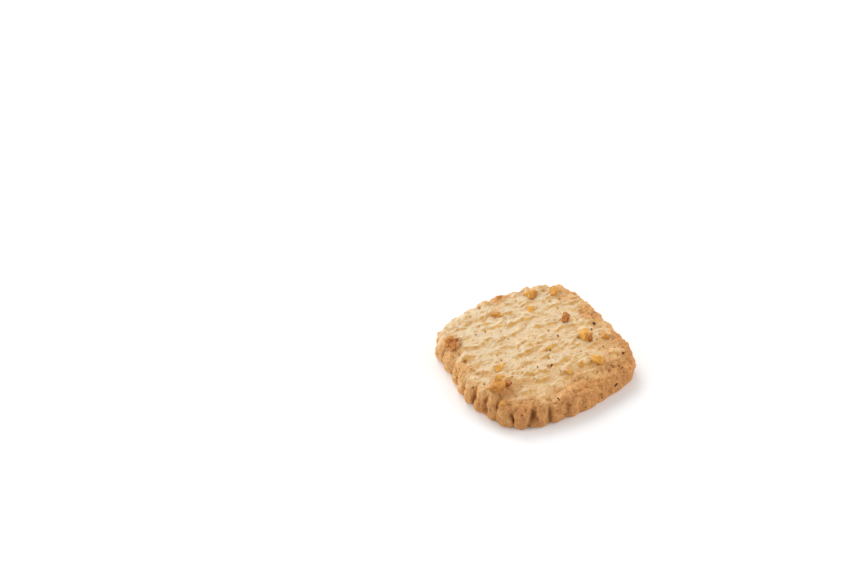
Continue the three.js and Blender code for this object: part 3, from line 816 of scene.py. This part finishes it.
def scatterTree(inputs):  # many small shapes over the surface, apart from its underside
    tree, put, given = newTree("grains on dough", inputs)
    seed = given["Seed"]
    ground = put("GeometryNodeObjectInfo", {"Object": given["Ground"]}).outputs["Geometry"]
    ring = put("GeometryNodeInputNamedAttribute", {"Name": "ring"})
    share = put("MapRange", [ring, given["Ring Start"], given["Ring Full"]])
    spot = put("GeometryNodeInputPosition")
    height = put("SeparateXYZ", [spot]).outputs["Z"]
    clear = put("FunctionNodeCompare", [height, given["Lowest"]])  # greater than
    density = put("Math", [share, given["Density"]], operation="MULTIPLY")
    strewn = put("GeometryNodeDistributePointsOnFaces", {"Mesh": ground, "Selection": clear,
                                                         "Density": density, "Seed": seed})
    # Each data type of a random value has its own two limits and its own output
    spread = put("FunctionNodeRandomValue", {2: 0.0, 3: 1.0, "Seed": seed}).outputs[1]
    few = put("Math", [spread, grains["fewLarge"]], operation="POWER")
    size = put("MapRange", {"Value": few, "To Min": given["Smallest"], "To Max": given["Largest"]})
    pose = put("FunctionNodeRandomValue", {0: (0, 0, 0), 1: grains["spin"], "Seed": seed},
               data_type="FLOAT_VECTOR")
    pick = put("FunctionNodeRandomValue", {4: 0, 5: grains["shapes"] - 1, "Seed": seed},
               data_type="INT").outputs[2]
    real = layShapes(put, given["Shapes"], strewn, pick, pose, size)
    dressed = put("GeometryNodeSetMaterial", {"Geometry": real, "Material": given["Material"]})
    put("NodeGroupOutput", {"Geometry": dressed})
    return tree


def makeGrains(name, kind, ground, shapes, material):
    sizes = grains[kind]
    inputs = {
        "Ground": ground,
        "Shapes": shapes,
        "Density": sizes["density"],
        "Smallest": sizes["from"] * mm,
        "Largest": sizes["to"] * mm,
        "Lowest": grains["lowest"] * mm,
        "Ring Start": sizes["ringStart"],
        "Ring Full": sizes["ringFull"],
        "Seed": sizes["seed"],
        "Material": material,
    }
    return growMesh(name, scatterTree(inputs), inputs)


# Camera where the photo was taken from: the aim is the point of the table in the middle of the picture
view = {"azimuth": -30.7, "elevation": 40.1, "distance": 700.0, "aim": (-7.9, 44.2, 0.0), "lens": 96.9,
        "sensor": 36.0}


def makeCamera():
    azimuth, elevation = math.radians(view["azimuth"]), math.radians(view["elevation"])
    level = math.cos(elevation)
    back = Vector((math.sin(azimuth) * level, -math.cos(azimuth) * level, math.sin(elevation)))
    camera = bpy.data.objects.new("camera", bpy.data.cameras.new("camera"))
    camera.data.sensor_width = view["sensor"]
    camera.data.lens = view["lens"]
    camera.location = Vector(view["aim"]) * mm + back * view["distance"] * mm
    camera.rotation_euler = back.to_track_quat("Z", "Y").to_euler()
    bpy.context.scene.collection.objects.link(camera)
    bpy.context.scene.camera = camera


# White card on a table in a white room, a window behind the biscuit and reflectors to its right and left
studio = {
    "floorSize": 1200.0,
    "floorColour": "#F4F4F4",
    "floorRoughness": 0.9,
    "floorGlow": 0.05,  # the card is lit from below too, so that shadows on it stay pale
    "horizon": 1.0,  # white walls all round, under a dimmer ceiling
    "ceiling": 0.43,
    "wallTop": 0.12,  # both as the sine of the height above the table
    "ceilingStart": 0.5,
    "lights": [
        {"name": "window", "at": (60, 700, 640), "size": 700.0, "watts": 6.1},
        {"name": "reflector", "at": (600, -380, 380), "size": 600.0, "watts": 3.0},
        {"name": "side card", "at": (-620, 240, 280), "size": 500.0, "watts": 2.45},
    ],
}


def makeStudio():
    half = studio["floorSize"] * mm / 2
    mesh = bpy.data.meshes.new("floor")
    corners = [(-half, -half, 0), (half, -half, 0), (half, half, 0), (-half, half, 0)]
    mesh.from_pydata(corners, [], [(0, 1, 2, 3)])
    floor = bpy.data.objects.new("floor", mesh)
    bpy.context.scene.collection.objects.link(floor)
    card, put = newMaterial("white_card")
    shader = put("BsdfPrincipled", {
        "Base Color": linear(studio["floorColour"]),
        "Roughness": studio["floorRoughness"],
        "Emission Color": white,
        "Emission Strength": studio["floorGlow"],
    })
    put("OutputMaterial", {"Surface": shader})
    mesh.materials.append(card)
    for lamp in studio["lights"]:
        light = bpy.data.lights.new(lamp["name"], "AREA")
        light.size = lamp["size"] * mm
        light.energy = lamp["watts"]
        holder = bpy.data.objects.new(lamp["name"], light)
        holder.location = Vector(lamp["at"]) * mm
        holder.rotation_euler = holder.location.to_track_quat("Z", "Y").to_euler()
        bpy.context.scene.collection.objects.link(holder)
    world = bpy.data.worlds.new("studio")
    world.use_nodes = True
    put = functools.partial(addNode, world.node_tree)
    way = put("TexCoord").outputs["Generated"]
    height = put("SeparateXYZ", [way]).outputs["Z"]
    fade = ("wallTop", "ceilingStart", "horizon", "ceiling")
    room = put("MapRange", [height, *(studio[name] for name in fade)])
    background = world.node_tree.nodes["Background"]
    background.inputs["Color"].default_value = white
    world.node_tree.links.new(room.outputs[0], background.inputs["Strength"])
    bpy.context.scene.world = world
    bpy.context.scene.view_settings.view_transform = "Standard"


makeCamera()
makeStudio()
print("camera, table and lights are in place")

bakedDough, darkSkin = bakedShortbread(), scorchedSkin()
grainShapes = shapeBox("grain_shape", grains)
doughPiece = makeDough(bakedDough)
pieces = [
    doughPiece,
    makeNuts(doughPiece, roastedHazelnut()),
    makeFlakes(doughPiece, darkSkin),
    makeGrains("crumbs", "crumbs", doughPiece, grainShapes, bakedDough),
    makeGrains("skin_specks", "specks", doughPiece, grainShapes, darkSkin),
    makeGrains("sugar_grains", "sugar", doughPiece, grainShapes, sugarCrystal()),
]
corners = np.array([v.co for v in doughPiece.data.vertices])
shift = (corners.min(0) + corners.max(0)) / -2
for piece in pieces:  # the middle of the outline is the frame's origin, as on the solid
    piece.data.transform(Matrix.Translation((shift[0], shift[1], 0)))
    print(piece.name, len(piece.data.polygons), "faces")
    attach(piece, "root")
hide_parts("biscuit")
